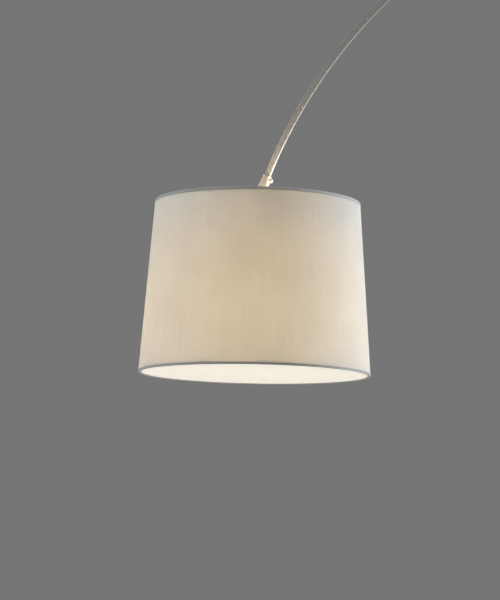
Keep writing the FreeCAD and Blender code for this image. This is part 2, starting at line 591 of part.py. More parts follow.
def build_pivot():
    """Bolt, washers and nut through the fork, and the eye that swings on the bolt."""
    shank = rod("bolt_shank", "sizes.pin_radius", "2 * sizes.ear_half + 6", y="-sizes.ear_half - 0.9",
                turn=ALONG_Y)
    head = rod("bolt_head", "5", "3", y="-sizes.ear_half - 3.8", turn=ALONG_Y)
    drive = hexagon("bolt_drive", "3", "2", "0", "-sizes.ear_half - 4", "0", ALONG_Y)
    bolt = without("bolt", joined("bolt_solid", shank, head), drive)
    nut = without("nut", hexagon("nut_blank", "8", "4", "0", "sizes.ear_half + 0.8", "0", ALONG_Y),
                  rod("nut_hole", "sizes.pin_radius + 0.05", "20", y="sizes.ear_half - 2", turn=ALONG_Y))
    rings = []
    for y in ("-sizes.ear_half - 0.8", "sizes.ear_half"):
        ring = rod("washer_ring", "5.4", "0.8", y=y, turn=ALONG_Y)
        rings.append(without("washer", ring, rod("washer_hole", "2.6", "4", y=y + " - 1", turn=ALONG_Y)))
    at_pivot(keep(bolt, "tilt_bolt"))
    at_pivot(keep(nut, "tilt_nut"))
    at_pivot(keep(grouped("washer_pair", *rings), "tilt_washers"))

    eye = new_body("eye_body")
    ring = disc_sketch(eye, "eye_ring", "XZ_Plane", "0", "0", "sizes.eye_radius")
    pad(eye, ring, "2 * sizes.eye_half")
    neck = outline(eye, "eye_neck", "XZ_Plane", ("-5.5", "-17"), ("5.5", "-17"), ("5.5", "0"), ("-5.5", "0"))
    pad(eye, neck, "2 * sizes.eye_half")
    bore = disc_sketch(eye, "eye_bore", "XZ_Plane", "0", "0", "sizes.pin_radius + sizes.running_gap")
    pocket(eye, bore, "40")
    plate = cone("eye_plate", "10", "8", "4", z="-20")
    way = rod("eye_way", "1.4", "30", y="0", z="-25")
    foot = without("eye_foot", plate, way)
    at_pivot(keep(joined("eye", eye, foot), "tilt_eye"))


# ---------------------------------------------------------------- lampholder and bulb


def build_stem():
    pipe = without("stem", rod("stem_solid", "sizes.stem_radius", "42", z="-62"),
                   rod("stem_hole", "sizes.stem_bore", "60", z="-70"))
    at_pivot(keep(pipe, "stem_pipe"))
    nuts = []
    for low in (HUB_FACE + " + sizes.hub_thick", HUB_FACE + " - 4"):
        blank = hexagon("stem_nut_blank", "14", "4", "0", "0", low)
        way = rod("stem_nut_hole", "sizes.stem_radius + 0.05", "80", z="-80")
        nuts.append(without("stem_nut", blank, way))
    at_pivot(keep(grouped("stem_nut_pair", *nuts), "stem_nuts"))
    wires = []
    for step in range(3):
        angle = math.radians(120 * step)
        wires.append(rod("holder_wire", "sizes.wire_radius", "48", "%.4f" % (1.8 * math.cos(angle)),
                         "%.4f" % (1.8 * math.sin(angle)), "-70"))
    at_pivot(keep(grouped("holder_wire_three", *wires), "holder_wires"))


def build_holder():
    cap = turned("cap", ("sizes.stem_radius + 0.1", "-47.6"), ("11.5", "-47.6"), ("18.5", "-54.7"),
                 ("18.5", "-66"), ("sizes.holder_radius", "-66"), ("sizes.holder_radius", "-54"),
                 ("12", "-46"), ("sizes.stem_radius + 0.1", "-46"))
    at_pivot(keep(cap, "holder_cap"))
    shell = turned("holder_shell", ("17.6", "-66.2"), ("sizes.holder_radius - 0.1", "-66.2"),
                   ("sizes.holder_radius - 0.1", "-100"), ("18.8", "-106"), ("15.2", "-106"),
                   ("15.2", "-103"), ("17.6", "-100"))
    at_pivot(keep(shell, "holder_body"))
    ceramic = rod("insert_disc", "17.2", "7", z="-78")
    ways = []
    for step in range(3):
        angle = math.radians(120 * step)
        ways.append(rod("insert_way", "1", "20", "%.4f" % (1.8 * math.cos(angle)),
                        "%.4f" % (1.8 * math.sin(angle)), "-90"))
    at_pivot(keep(without("insert", ceramic, *ways), "holder_insert"))
    strip = block("tongue_strip", "5", "12", "0.6", "0", "0", "-78.6")
    dimple = rod("tongue_dimple", "2", "0.8", z="-79.3")
    at_pivot(keep(joined("tongue", strip, dimple), "contact_tongue"))
    tube = without("thread", rod("thread_outer", "13.9", "22", z="-101"),
                   rod("thread_hole", "13.5", "30", z="-105"))
    at_pivot(keep(tube, "thread_shell"))


def build_bulb():
    """A pear-shaped filament bulb, cap up, hanging in the holder."""
    cap = without("bulb_cap_shell", joined("bulb_cap_solid", rod("bulb_cap_tube", "13.1", "22", z="-106.5"),
                                           cone("bulb_cap_top", "13.1", "6.6", "2.5", z="-84.5")),
                  rod("bulb_cap_inside", "12.5", "22.5", z="-107"),
                  cone("bulb_cap_way", "12.5", "6", "2.6", z="-84.6"))
    at_pivot(keep(cap, "bulb_cap"))
    button = cone("bulb_glass_button", "5.9", "4.6", "1.6", z="-82.0")
    at_pivot(keep(grouped("bulb_button", button), "bulb_insulator"))
    tip = rod("bulb_tip_disc", "3.4", "0.9", z="-80.35")
    at_pivot(keep(grouped("bulb_contact", tip), "bulb_tip"))
    outer = joined("bulb_outer", doc_sphere("bulb_ball", "sizes.bulb_radius"),
                   cone("bulb_neck", "27", "12.2", "40", z="-sizes.bulb_drop + sizes.bulb_radius + 13"),
                   rod("bulb_throat", "12.2", "14", z="-sizes.bulb_drop + sizes.bulb_radius + 53"))
    inner = joined("bulb_inner", doc_sphere("bulb_ball_inside", "sizes.bulb_radius - 0.9"),
                   cone("bulb_neck_inside", "26.1", "11.3", "40",
                        z="-sizes.bulb_drop + sizes.bulb_radius + 13"),
                   rod("bulb_throat_inside", "11.3", "20", z="-sizes.bulb_drop + sizes.bulb_radius + 53"))
    at_pivot(keep(without("bulb", outer, inner), "bulb_glass"))
    flare = cone("stem_flare", "3", "10.8", "6", z="-107")
    post = rod("stem_post", "3", "34", z="-140")
    at_pivot(keep(joined("bulb_stem_solid", flare, post), "bulb_stem"))
    rods = []
    for step in range(4):
        angle = math.radians(45 + 90 * step)
        x = "%.4f" % (9 * math.cos(angle))
        y = "%.4f" % (9 * math.sin(angle))
        rods.append(rod("filament", "0.9", "38", x, y, "-176"))
    at_pivot(keep(grouped("filament_four", *rods), "bulb_filaments"))


def doc_sphere(name, radius):
    solid = doc.addObject("Part::Sphere", name)
    solid.setExpression("Radius", radius)
    return place(solid, z="-sizes.bulb_drop + sizes.bulb_radius")


# ---------------------------------------------------------------- shade


def on_rim(thing):
    """Move a piece built about the shade's axis, with z counted from the bottom rim."""
    return place(thing, PIVOT_X, "0", "sizes.rim_level")


def skin_radius(height, out="0"):
    """The fabric's outer radius at a height over the rim, plus something."""
    return "sizes.shade_low_radius - %s * (%s) + (%s)" % (SLOPE, height, out)


def build_shade():
    fabric = turned("fabric", (skin_radius("0"), "0"), (skin_radius("sizes.shade_tall"), "sizes.shade_tall"),
                    (skin_radius("sizes.shade_tall", "-sizes.shade_skin"), "sizes.shade_tall"),
                    (skin_radius("0", "-sizes.shade_skin"), "0"))
    on_rim(keep(fabric, "shade_fabric"))

    near = "sizes.trim_gap"
    far = "sizes.trim_gap + sizes.trim_thick"
    inside = "-sizes.shade_skin - sizes.trim_gap"
    deeper = "-sizes.shade_skin - sizes.trim_gap - sizes.trim_thick"
    leg = "sizes.shade_tall - sizes.top_leg"
    cap = "sizes.shade_tall + sizes.trim_gap"
    top = "sizes.shade_tall + sizes.trim_gap + sizes.trim_thick"
    hem = "sizes.shade_tall - 1"
    top_band = turned("top_band", (skin_radius(leg, near), leg), (skin_radius(leg, far), leg),
                      (skin_radius(top, far), top), (skin_radius(top, deeper), top),
                      (skin_radius(hem, deeper), hem), (skin_radius(hem, inside), hem),
                      (skin_radius(cap, inside), cap), (skin_radius(cap, near), cap))
    on_rim(keep(top_band, "top_trim"))
    bottom_band = turned("bottom_band", (skin_radius("sizes.low_leg", near), "sizes.low_leg"),
                         (skin_radius("sizes.low_leg", far), "sizes.low_leg"),
                         (skin_radius("0", far), "-sizes.trim_gap - sizes.trim_thick"),
                         ("sizes.shade_low_radius - sizes.low_turn", "-sizes.trim_gap - sizes.trim_thick"),
                         ("sizes.shade_low_radius - sizes.low_turn", "-sizes.trim_gap"),
                         (skin_radius("0", near), "-sizes.trim_gap"))
    on_rim(keep(bottom_band, "bottom_trim"))

    low_ring = hoop("low_ring", LOW_RING, "sizes.ring_wire", PIVOT_X, "0",
                    "sizes.rim_level + sizes.low_ring_level")
    keep(low_ring, "bottom_ring")
    flat_disc = rod("diffuser_disc", "sizes.shade_low_radius - sizes.diffuser_inset", "sizes.diffuser_thick",
                    PIVOT_X, "0", "sizes.rim_level + sizes.diffuser_level")
    keep(flat_disc, "diffuser")
    clips = []
    for step in range(3):
        clip = block("clip_block", "10.8", "12", "6", "sizes.shade_low_radius - sizes.clip_inset", "0",
                     "sizes.diffuser_level + sizes.diffuser_thick")
        groove = hoop("clip_groove", LOW_RING, "sizes.ring_wire + 0.15", "0", "0", "sizes.low_ring_level")
        cut_clip = without("clip", clip, groove)
        cut_clip.Placement = FreeCAD.Placement(FreeCAD.Vector(), FreeCAD.Rotation(Z_AXIS, 30 + 120 * step))
        clips.append(cut_clip)
    on_rim(keep(grouped("clip_three", *clips), "diffuser_clips"))

    top_ring = hoop("top_ring", TOP_RING, "sizes.ring_wire", "0", "0", "sizes.shade_tall - sizes.ring_drop")
    hub = without("hub", rod("hub_disc", "sizes.hub_radius", "sizes.hub_thick", z=HUB_LEVEL),
                  rod("hub_hole", "sizes.stem_radius + 0.2", "10", z=HUB_LEVEL + " - 4"))
    arms = []
    for step in range(3):
        degrees = 60 + 120 * step
        arm = rod("spider_arm", "sizes.ring_wire", "sqrt(%s ^ 2 + %s ^ 2)" % (ARM_RUN, ARM_RISE),
                  "sizes.arm_root * cos(%d)" % degrees, "sizes.arm_root * sin(%d)" % degrees,
                  HUB_LEVEL + " + sizes.hub_thick / 2",
                  FreeCAD.Rotation(Z_AXIS, degrees).multiply(FreeCAD.Rotation(Y_AXIS, ARM_PITCH)))
        arms.append(arm)
    on_rim(keep(joined("spider", top_ring, hub, *arms), "spider_frame"))


build_base()
build_cord_entry()
build_mast()
build_mast_socket()
build_mast_head()
build_arm()
build_sleeve()
build_pivot()
build_stem()
build_holder()
build_bulb()
build_shade()
doc.recompute()

failed = [item.Name for item in doc.Objects if "Invalid" in item.State or "Error" in item.State]
if failed:
    raise SystemExit("not solved: " + ", ".join(failed))
for thing in sub_parts:
    if thing.Shape.isNull() or not thing.Shape.isValid():
        raise SystemExit("bad shape: " + thing.Label)

os.makedirs("parts", exist_ok=True)
for thing in sub_parts:
    thing.Shape.exportStep("parts/%s.step" % thing.Label)
    box = thing.Shape.BoundBox
    print("%-20s %d solid(s) %12.1f mm3  x %8.1f %8.1f  y %7.1f %7.1f  z %7.1f %7.1f" % (
        thing.Label, len(thing.Shape.Solids), thing.Shape.Volume, box.XMin, box.XMax, box.YMin, box.YMax,
        box.ZMin, box.ZMax))
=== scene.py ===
import json
import math

import bmesh
import bpy
from mathutils import Matrix, Vector


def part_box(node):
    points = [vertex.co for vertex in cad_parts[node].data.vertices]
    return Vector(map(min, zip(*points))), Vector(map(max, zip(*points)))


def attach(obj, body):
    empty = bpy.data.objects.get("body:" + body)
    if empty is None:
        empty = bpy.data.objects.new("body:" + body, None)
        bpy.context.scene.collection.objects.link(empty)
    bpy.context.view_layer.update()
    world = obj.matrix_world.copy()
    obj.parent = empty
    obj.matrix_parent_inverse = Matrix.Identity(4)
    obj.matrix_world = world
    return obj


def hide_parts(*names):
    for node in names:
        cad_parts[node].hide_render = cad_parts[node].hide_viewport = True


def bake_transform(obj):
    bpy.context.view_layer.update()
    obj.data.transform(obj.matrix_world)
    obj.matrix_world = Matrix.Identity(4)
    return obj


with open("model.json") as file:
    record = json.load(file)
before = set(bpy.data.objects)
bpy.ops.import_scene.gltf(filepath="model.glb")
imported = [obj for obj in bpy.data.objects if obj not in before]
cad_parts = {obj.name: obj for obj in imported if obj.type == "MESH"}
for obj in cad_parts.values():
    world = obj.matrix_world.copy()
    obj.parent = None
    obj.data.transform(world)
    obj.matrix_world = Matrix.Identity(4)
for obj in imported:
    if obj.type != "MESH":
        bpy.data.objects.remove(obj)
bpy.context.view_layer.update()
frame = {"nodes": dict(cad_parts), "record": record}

joints = {joint["name"]: joint for joint in frame["record"]["behaviour"]["joints"]}
pivot = Vector(joints["shade_tilt"]["pos_m"])
print("frame loaded,", len(frame["nodes"]), "nodes")


# ---- camera and room

camera = {
    "azimuth": 25.0,        # degrees from -Y towards +X
    "elevation": -6.827,    # a little below the shade, looking up
    "roll": 1.171,
    "distance": 4.450,
    "lens": 138.0,
    "sensorWidth": 36.0,
    "aim": (-0.0030, -0.0203, 0.1424),  # from the middle of the shade's lower rim
}
room = {
    "wall": (0.18, 0.18, 0.18),       # plain middle grey all round
    "ceiling": (0.60, 0.60, 0.60),
    "ceilingStart": 0.50,   # upward part of the direction where the ceiling begins, and where it is full
    "ceilingFull": 0.75,
    "floorSize": 90.0,
}
lamps = {
    # place is from the middle of the shade: right, away from the camera, up
    "keyRight": {"place": (2.8, 0.9, 0.3), "size": (1.6, 2.2), "watts": 18.5,
                 "color": (0.66, 0.84, 1.0), "spread": 70.0},
    "fillLeft": {"place": (-3.2, 0.4, 0.3), "size": (1.6, 2.4), "watts": 7.8,
                 "color": (0.66, 0.82, 1.0), "spread": 70.0},
    "overhead": {"place": (0.5, 0.5, 2.6), "size": (3.0, 3.0), "watts": 40.0,
                 "color": (1.0, 1.0, 1.0), "spread": 180.0},
}
topGlow = {"size": 0.34, "watts": 2.5, "color": (1.0, 0.74, 0.50), "sunk": 0.004}

rimLow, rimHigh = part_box("shade_fabric")
shadeAxis = Vector((pivot.x, pivot.y, 0.0))
aim = shadeAxis + Vector((0.0, 0.0, rimLow.z)) + Vector(camera["aim"])
azimuth, elevation = math.radians(camera["azimuth"]), math.radians(camera["elevation"])
outward = Vector((math.sin(azimuth) * math.cos(elevation), -math.cos(azimuth) * math.cos(elevation),
                  math.sin(elevation)))
roll = Matrix.Rotation(math.radians(camera["roll"]), 3, "Z")
cameraTurn = (-outward).to_track_quat("-Z", "Y").to_matrix() @ roll
lensData = bpy.data.cameras.new("photoCamera")
lensData.lens = camera["lens"]
lensData.sensor_width = camera["sensorWidth"]
cameraObject = bpy.data.objects.new("photoCamera", lensData)
cameraObject.matrix_world = Matrix.Translation(aim + outward * camera["distance"]) @ cameraTurn.to_4x4()
bpy.context.collection.objects.link(cameraObject)
bpy.context.scene.camera = cameraObject
bpy.context.scene.view_settings.view_transform = "Standard"


def addNode(tree, kind, values=None, settings=None):
    node = tree.nodes.new(kind)
    for key, value in (settings or {}).items():
        setattr(node, key, value)
    for key, value in (values or {}).items():
        node.inputs[key].default_value = value
    return node


def solid(color):
    return (color[0], color[1], color[2], 1.0)


# the room is one plain grey, under a soft bright ceiling
world = bpy.data.worlds.new("room")
bpy.context.scene.world = world
world.use_nodes = True
tree = world.node_tree
direction = addNode(tree, "ShaderNodeTexCoord")
parts = addNode(tree, "ShaderNodeSeparateXYZ")
upward = addNode(tree, "ShaderNodeMapRange",
                 {"From Min": room["ceilingStart"], "From Max": room["ceilingFull"]})
tone = tree.nodes.new("ShaderNodeMix")
tone.data_type = "RGBA"
tone.inputs[6].default_value = solid(room["wall"])
tone.inputs[7].default_value = solid(room["ceiling"])
tree.links.new(direction.outputs["Generated"], parts.inputs["Vector"])
tree.links.new(parts.outputs["Z"], upward.inputs["Value"])
tree.links.new(upward.outputs["Result"], tone.inputs[0])
tree.links.new(tone.outputs[2], tree.nodes["Background"].inputs["Color"])

floorMesh = bpy.data.meshes.new("floor")
half = room["floorSize"] / 2
floorCorners = [(-half, -half, 0), (half, -half, 0), (half, half, 0), (-half, half, 0)]
floorMesh.from_pydata(floorCorners, [], [(0, 1, 2, 3)])
floor = bpy.data.objects.new("floor", floorMesh)
bpy.context.collection.objects.link(floor)

rightward = cameraTurn @ Vector((1, 0, 0))
away = Vector((-outward.x, -outward.y, 0)).normalized()
shadeMiddle = shadeAxis + Vector((0, 0, (rimLow.z + rimHigh.z) / 2))
for name, lamp in lamps.items():
    light = bpy.data.lights.new(name, "AREA")
    light.shape = "RECTANGLE"
    light.size, light.size_y = lamp["size"]
    light.energy = lamp["watts"]
    light.color = lamp["color"]
    light.spread = math.radians(lamp["spread"])
    lightObject = bpy.data.objects.new(name, light)
    right, back, up = lamp["place"]
    spot = shadeMiddle + rightward * right + away * back + Vector((0, 0, up))
    facing = (shadeMiddle - spot).to_track_quat("-Z", "Y").to_matrix().to_4x4()
    lightObject.matrix_world = Matrix.Translation(spot) @ facing
    lightObject.visible_camera = False
    bpy.context.collection.objects.link(lightObject)

# warm light that comes out of the shade's open top on to the arm
glowData = bpy.data.lights.new("shadeGlow", "AREA")
glowData.shape = "DISK"
glowData.size = topGlow["size"]
glowData.energy = topGlow["watts"]
glowData.color = topGlow["color"]
shadeGlow = bpy.data.objects.new("shadeGlow", glowData)
glowSpot = Matrix.Translation((pivot.x, pivot.y, rimHigh.z - topGlow["sunk"]))
shadeGlow.matrix_world = glowSpot @ Matrix.Rotation(math.pi, 4, "X")
shadeGlow.visible_camera = False
bpy.context.collection.objects.link(shadeGlow)
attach(shadeGlow, "shade")
print("camera, room and lights set")


# ---- finishes

def scaledCoords(tree, kind, scale, centre=(0, 0, 0)):
    # object space, the piece's own map, or rings around an upright axis
    source = addNode(tree, "ShaderNodeTexCoord")
    mapping = addNode(tree, "ShaderNodeMapping", {"Scale": scale})
    if kind != "rings":
        tree.links.new(source.outputs["UV" if kind == "map" else "Object"], mapping.inputs["Vector"])
        return mapping.outputs["Vector"]
    moved = addNode(tree, "ShaderNodeVectorMath", {1: centre}, {"operation": "SUBTRACT"})
    split = addNode(tree, "ShaderNodeSeparateXYZ")
    flat = addNode(tree, "ShaderNodeCombineXYZ")
    reach = addNode(tree, "ShaderNodeVectorMath", None, {"operation": "LENGTH"})
    turn = addNode(tree, "ShaderNodeMath", None, {"operation": "ARCTAN2"})
    polar = addNode(tree, "ShaderNodeCombineXYZ")
    tree.links.new(source.outputs["Object"], moved.inputs[0])
    tree.links.new(moved.outputs["Vector"], split.inputs["Vector"])
    tree.links.new(split.outputs["X"], flat.inputs["X"])
    tree.links.new(split.outputs["Y"], flat.inputs["Y"])
    tree.links.new(flat.outputs["Vector"], reach.inputs[0])
    tree.links.new(split.outputs["Y"], turn.inputs[0])
    tree.links.new(split.outputs["X"], turn.inputs[1])
    tree.links.new(reach.outputs["Value"], polar.inputs["X"])
    tree.links.new(turn.outputs["Value"], polar.inputs["Y"])
    tree.links.new(split.outputs["Z"], polar.inputs["Z"])
    tree.links.new(polar.outputs["Vector"], mapping.inputs["Vector"])
    return mapping.outputs["Vector"]


def makeFinish(name, look):
    material = bpy.data.materials.new(name)
    material.use_nodes = True
    tree = material.node_tree
    shader = tree.nodes["Principled BSDF"]
    shader.inputs["Metallic"].default_value = look.get("metal", 0.0)
    for socket, value in look.get("sockets", {}).items():
        shader.inputs[socket].default_value = value
    fine = scaledCoords(tree, look.get("coords", "object"), look["grain"], look.get("centre", (0, 0, 0)))
    broad = scaledCoords(tree, look.get("coords", "object"), look["mottle"], look.get("centre", (0, 0, 0)))
    grain = addNode(tree, "ShaderNodeTexNoise", {"Scale": 1.0, "Detail": 5.0, "Roughness": 0.6})
    mottle = addNode(tree, "ShaderNodeTexNoise", {"Scale": 1.0, "Detail": 3.0, "Roughness": 0.5})
    tree.links.new(fine, grain.inputs["Vector"])
    tree.links.new(broad, mottle.inputs["Vector"])
    tone = tree.nodes.new("ShaderNodeMix")
    tone.data_type = "RGBA"
    tone.inputs[6].default_value = solid(look["color"])
    tone.inputs[7].default_value = solid(look["second"])
    blended = addNode(tree, "ShaderNodeMath", None, {"operation": "MULTIPLY_ADD"})
    blended.inputs[1].default_value = 0.5
    tree.links.new(grain.outputs["Fac"], blended.inputs[0])
    halved = addNode(tree, "ShaderNodeMath", None, {"operation": "MULTIPLY"})
    halved.inputs[1].default_value = 0.5
    tree.links.new(mottle.outputs["Fac"], halved.inputs[0])
    tree.links.new(halved.outputs["Value"], blended.inputs[2])
    spread = addNode(tree, "ShaderNodeMapRange", {"From Min": 0.3, "From Max": 0.7})
    tree.links.new(blended.outputs["Value"], spread.inputs["Value"])
    tree.links.new(spread.outputs["Result"], tone.inputs[0])
    tree.links.new(tone.outputs[2], shader.inputs["Base Color"])
    low, high = look["rough"]
    rough = addNode(tree, "ShaderNodeMapRange",
                    {"From Min": 0.3, "From Max": 0.7, "To Min": low, "To Max": high})
    tree.links.new(grain.outputs["Fac"], rough.inputs["Value"])
    tree.links.new(rough.outputs["Result"], shader.inputs["Roughness"])
    bump = addNode(tree, "ShaderNodeBump", {"Strength": look.get("strength", 0.5), "Distance": look["bump"]})
    tree.links.new(grain.outputs["Fac"], bump.inputs["Height"])
    tree.links.new(bump.outputs["Normal"], shader.inputs["Normal"])
    return material


nickel = {"color": (0.57, 0.55, 0.515), "second": (0.63, 0.61, 0.575), "metal": 0.9,
          "rough": (0.34, 0.44), "bump": 0.000006, "mottle": (9, 9, 9)}
finishes = {
    "armNickel": {**nickel, "coords": "map", "grain": (14, 1600, 1), "mottle": (6, 60, 1)},
    "mastNickel": {**nickel, "grain": (5200, 5200, 16)},
    # the sleeve is the arm's own nickel painted darker: painted shade against the light that falls on it
    "sleeveShadedNickel": {**nickel, "color": (0.44, 0.42, 0.395), "second": (0.50, 0.48, 0.455),
                     "grain": (3000, 3000, 60), "mottle": (60, 60, 60)},
    "baseNickel": {**nickel, "coords": "rings", "grain": (4200, 5, 4200)},
    "socketNickel": {**nickel, "coords": "rings", "centre": (0.110, 0, 0),
                     "grain": (4200, 5, 4200)},
    "turnedNickel": {**nickel, "grain": (2200, 2200, 2200), "mottle": (200, 200, 200)},
    "wornFelt": {"color": (0.018, 0.018, 0.02), "second": (0.05, 0.05, 0.055), "rough": (0.85, 1.0),
                 "bump": 0.0008, "grain": (1400, 1400, 1400), "mottle": (60, 60, 60),
                 "strength": 1.0, "sockets": {"Sheen Weight": 0.5, "Sheen Roughness": 0.6}},
    "sandCast": {"color": (0.030, 0.031, 0.034), "second": (0.075, 0.074, 0.072), "metal": 0.6,
                 "rough": (0.55, 0.85), "bump": 0.0012, "grain": (420, 420, 420),
                 "mottle": (35, 35, 35), "strength": 0.8},
    "zincPlate": {"color": (0.50, 0.51, 0.53), "second": (0.66, 0.66, 0.64), "metal": 1.0,
                  "rough": (0.24, 0.40), "bump": 0.00005, "grain": (1500, 1500, 1500),
                  "mottle": (220, 220, 220)},
    "plainBrass": {"color": (0.60, 0.43, 0.19), "second": (0.74, 0.56, 0.29), "metal": 1.0,
                   "rough": (0.22, 0.38), "bump": 0.00004, "grain": (1800, 1800, 1800),
                   "mottle": (260, 260, 260)},
    "softRubber": {"color": (0.012, 0.012, 0.013), "second": (0.03, 0.03, 0.031),
                   "rough": (0.55, 0.75), "bump": 0.0001, "grain": (2200, 2200, 2200),
                   "mottle": (120, 120, 120)},
    "blackNylon": {"color": (0.014, 0.014, 0.015), "second": (0.028, 0.028, 0.03),
                   "rough": (0.35, 0.5), "bump": 0.00005, "grain": (2600, 2600, 2600),
                   "mottle": (140, 140, 140)},
    "whiteNylon": {"color": (0.78, 0.77, 0.74), "second": (0.86, 0.85, 0.82), "rough": (0.30, 0.44),
                   "bump": 0.00005, "grain": (2400, 2400, 2400), "mottle": (90, 90, 90),
                   "sockets": {"Subsurface Weight": 0.1}},
    "clearSheath": {"color": (0.86, 0.87, 0.86), "second": (0.78, 0.79, 0.79),
                    "rough": (0.12, 0.22), "bump": 0.00003, "grain": (1800, 1800, 60),
                    "mottle": (70, 70, 12), "sockets": {"Transmission Weight": 0.7, "IOR": 1.52}},
    "wireSheath": {"color": (0.80, 0.80, 0.77), "second": (0.70, 0.70, 0.68), "rough": (0.34, 0.48),
                   "bump": 0.00003, "grain": (1500, 1500, 200), "mottle": (90, 90, 30)},
    "whiteEnamel": {"color": (0.82, 0.81, 0.78), "second": (0.88, 0.87, 0.84),
                    "rough": (0.20, 0.32), "bump": 0.00008, "grain": (900, 900, 900),
                    "mottle": (45, 45, 45), "sockets": {"Coat Weight": 0.3}},
    "glazedClay": {"color": (0.84, 0.83, 0.79), "second": (0.90, 0.89, 0.86), "rough": (0.10, 0.2),
                   "bump": 0.00006, "grain": (500, 500, 500), "mottle": (90, 90, 90),
                   "sockets": {"Coat Weight": 0.6}},
    "capMetal": {"color": (0.68, 0.67, 0.64), "second": (0.78, 0.77, 0.74), "metal": 1.0,
                 "rough": (0.22, 0.36), "bump": 0.00003, "grain": (1500, 1500, 1500),
                 "mottle": (300, 300, 300)},
    "blackVitrite": {"color": (0.01, 0.01, 0.012), "second": (0.02, 0.02, 0.024),
                     "rough": (0.08, 0.16), "bump": 0.00003, "grain": (1200, 1200, 1200),
                     "mottle": (200, 200, 200)},
    "clearStem": {"color": (0.90, 0.91, 0.90), "second": (0.95, 0.95, 0.94), "rough": (0.02, 0.06),
                  "bump": 0.00002, "grain": (300, 300, 300), "mottle": (80, 80, 80),
                  "sockets": {"Transmission Weight": 0.85, "IOR": 1.5}},
    # the hem tape is the shade's own pale cloth; its grey is painted shade along the hems, which the bulb does
    # not light through
    "hemTapeShaded": {"color": (0.46, 0.435, 0.40), "second": (0.52, 0.495, 0.46),
                    "rough": (0.75, 0.92), "bump": 0.00012, "grain": (2600, 2600, 2600),
                    "mottle": (120, 120, 120), "sockets": {"Sheen Weight": 0.15}},
    "paleFloor": {"color": (0.70, 0.69, 0.67), "second": (0.73, 0.72, 0.70), "rough": (0.55, 0.68),
                  "bump": 0.0003, "grain": (60, 60, 60), "mottle": (1.2, 1.2, 1.2)},
}
materials = {name: makeFinish(name, look) for name, look in finishes.items()}
floor.data.materials.append(materials["paleFloor"])

cloth = {
    "color": (0.77, 0.765, 0.755),
    "second": (0.82, 0.815, 0.805),
    "glow": (0.80, 0.785, 0.755),
    "glowShare": 0.5,
    "threadPitch": 0.0006,
    "slubWidth": 0.004,
    "slubLength": 0.12,
    "rough": 0.85,
    "sheen": 0.08,
    "threadTones": (0.93, 1.02),
    "bump": 0.00012,
    "bumpStrength": 0.35,
}
glowing = {
    "bulbColor": (1.0, 0.675, 0.285),
    "bulbStrength": 66.0,
    "bulbBase": (0.9, 0.88, 0.84),
    "filamentColor": (1.0, 0.62, 0.28),
    "filamentStrength": 60.0,
    "filamentBase": (0.9, 0.6, 0.3),
    "stops": ((0.25, 1.0), (0.45, 0.42)),   # share of the height, share of the brightness
    "topShare": 0.03,
    # the diffuser's emission is painted glow: an even light standing in for the bulb's light coming through the
    # opal sheet
    "diffuserPaintedGlowColor": (1.0, 0.931, 0.794),
    "diffuserPaintedGlowStrength": 0.465,
    "diffuserBase": (0.84, 0.82, 0.77),
    "diffuserThrough": (0.86, 0.84, 0.79),
    "diffuserThroughShare": 0.12,
}


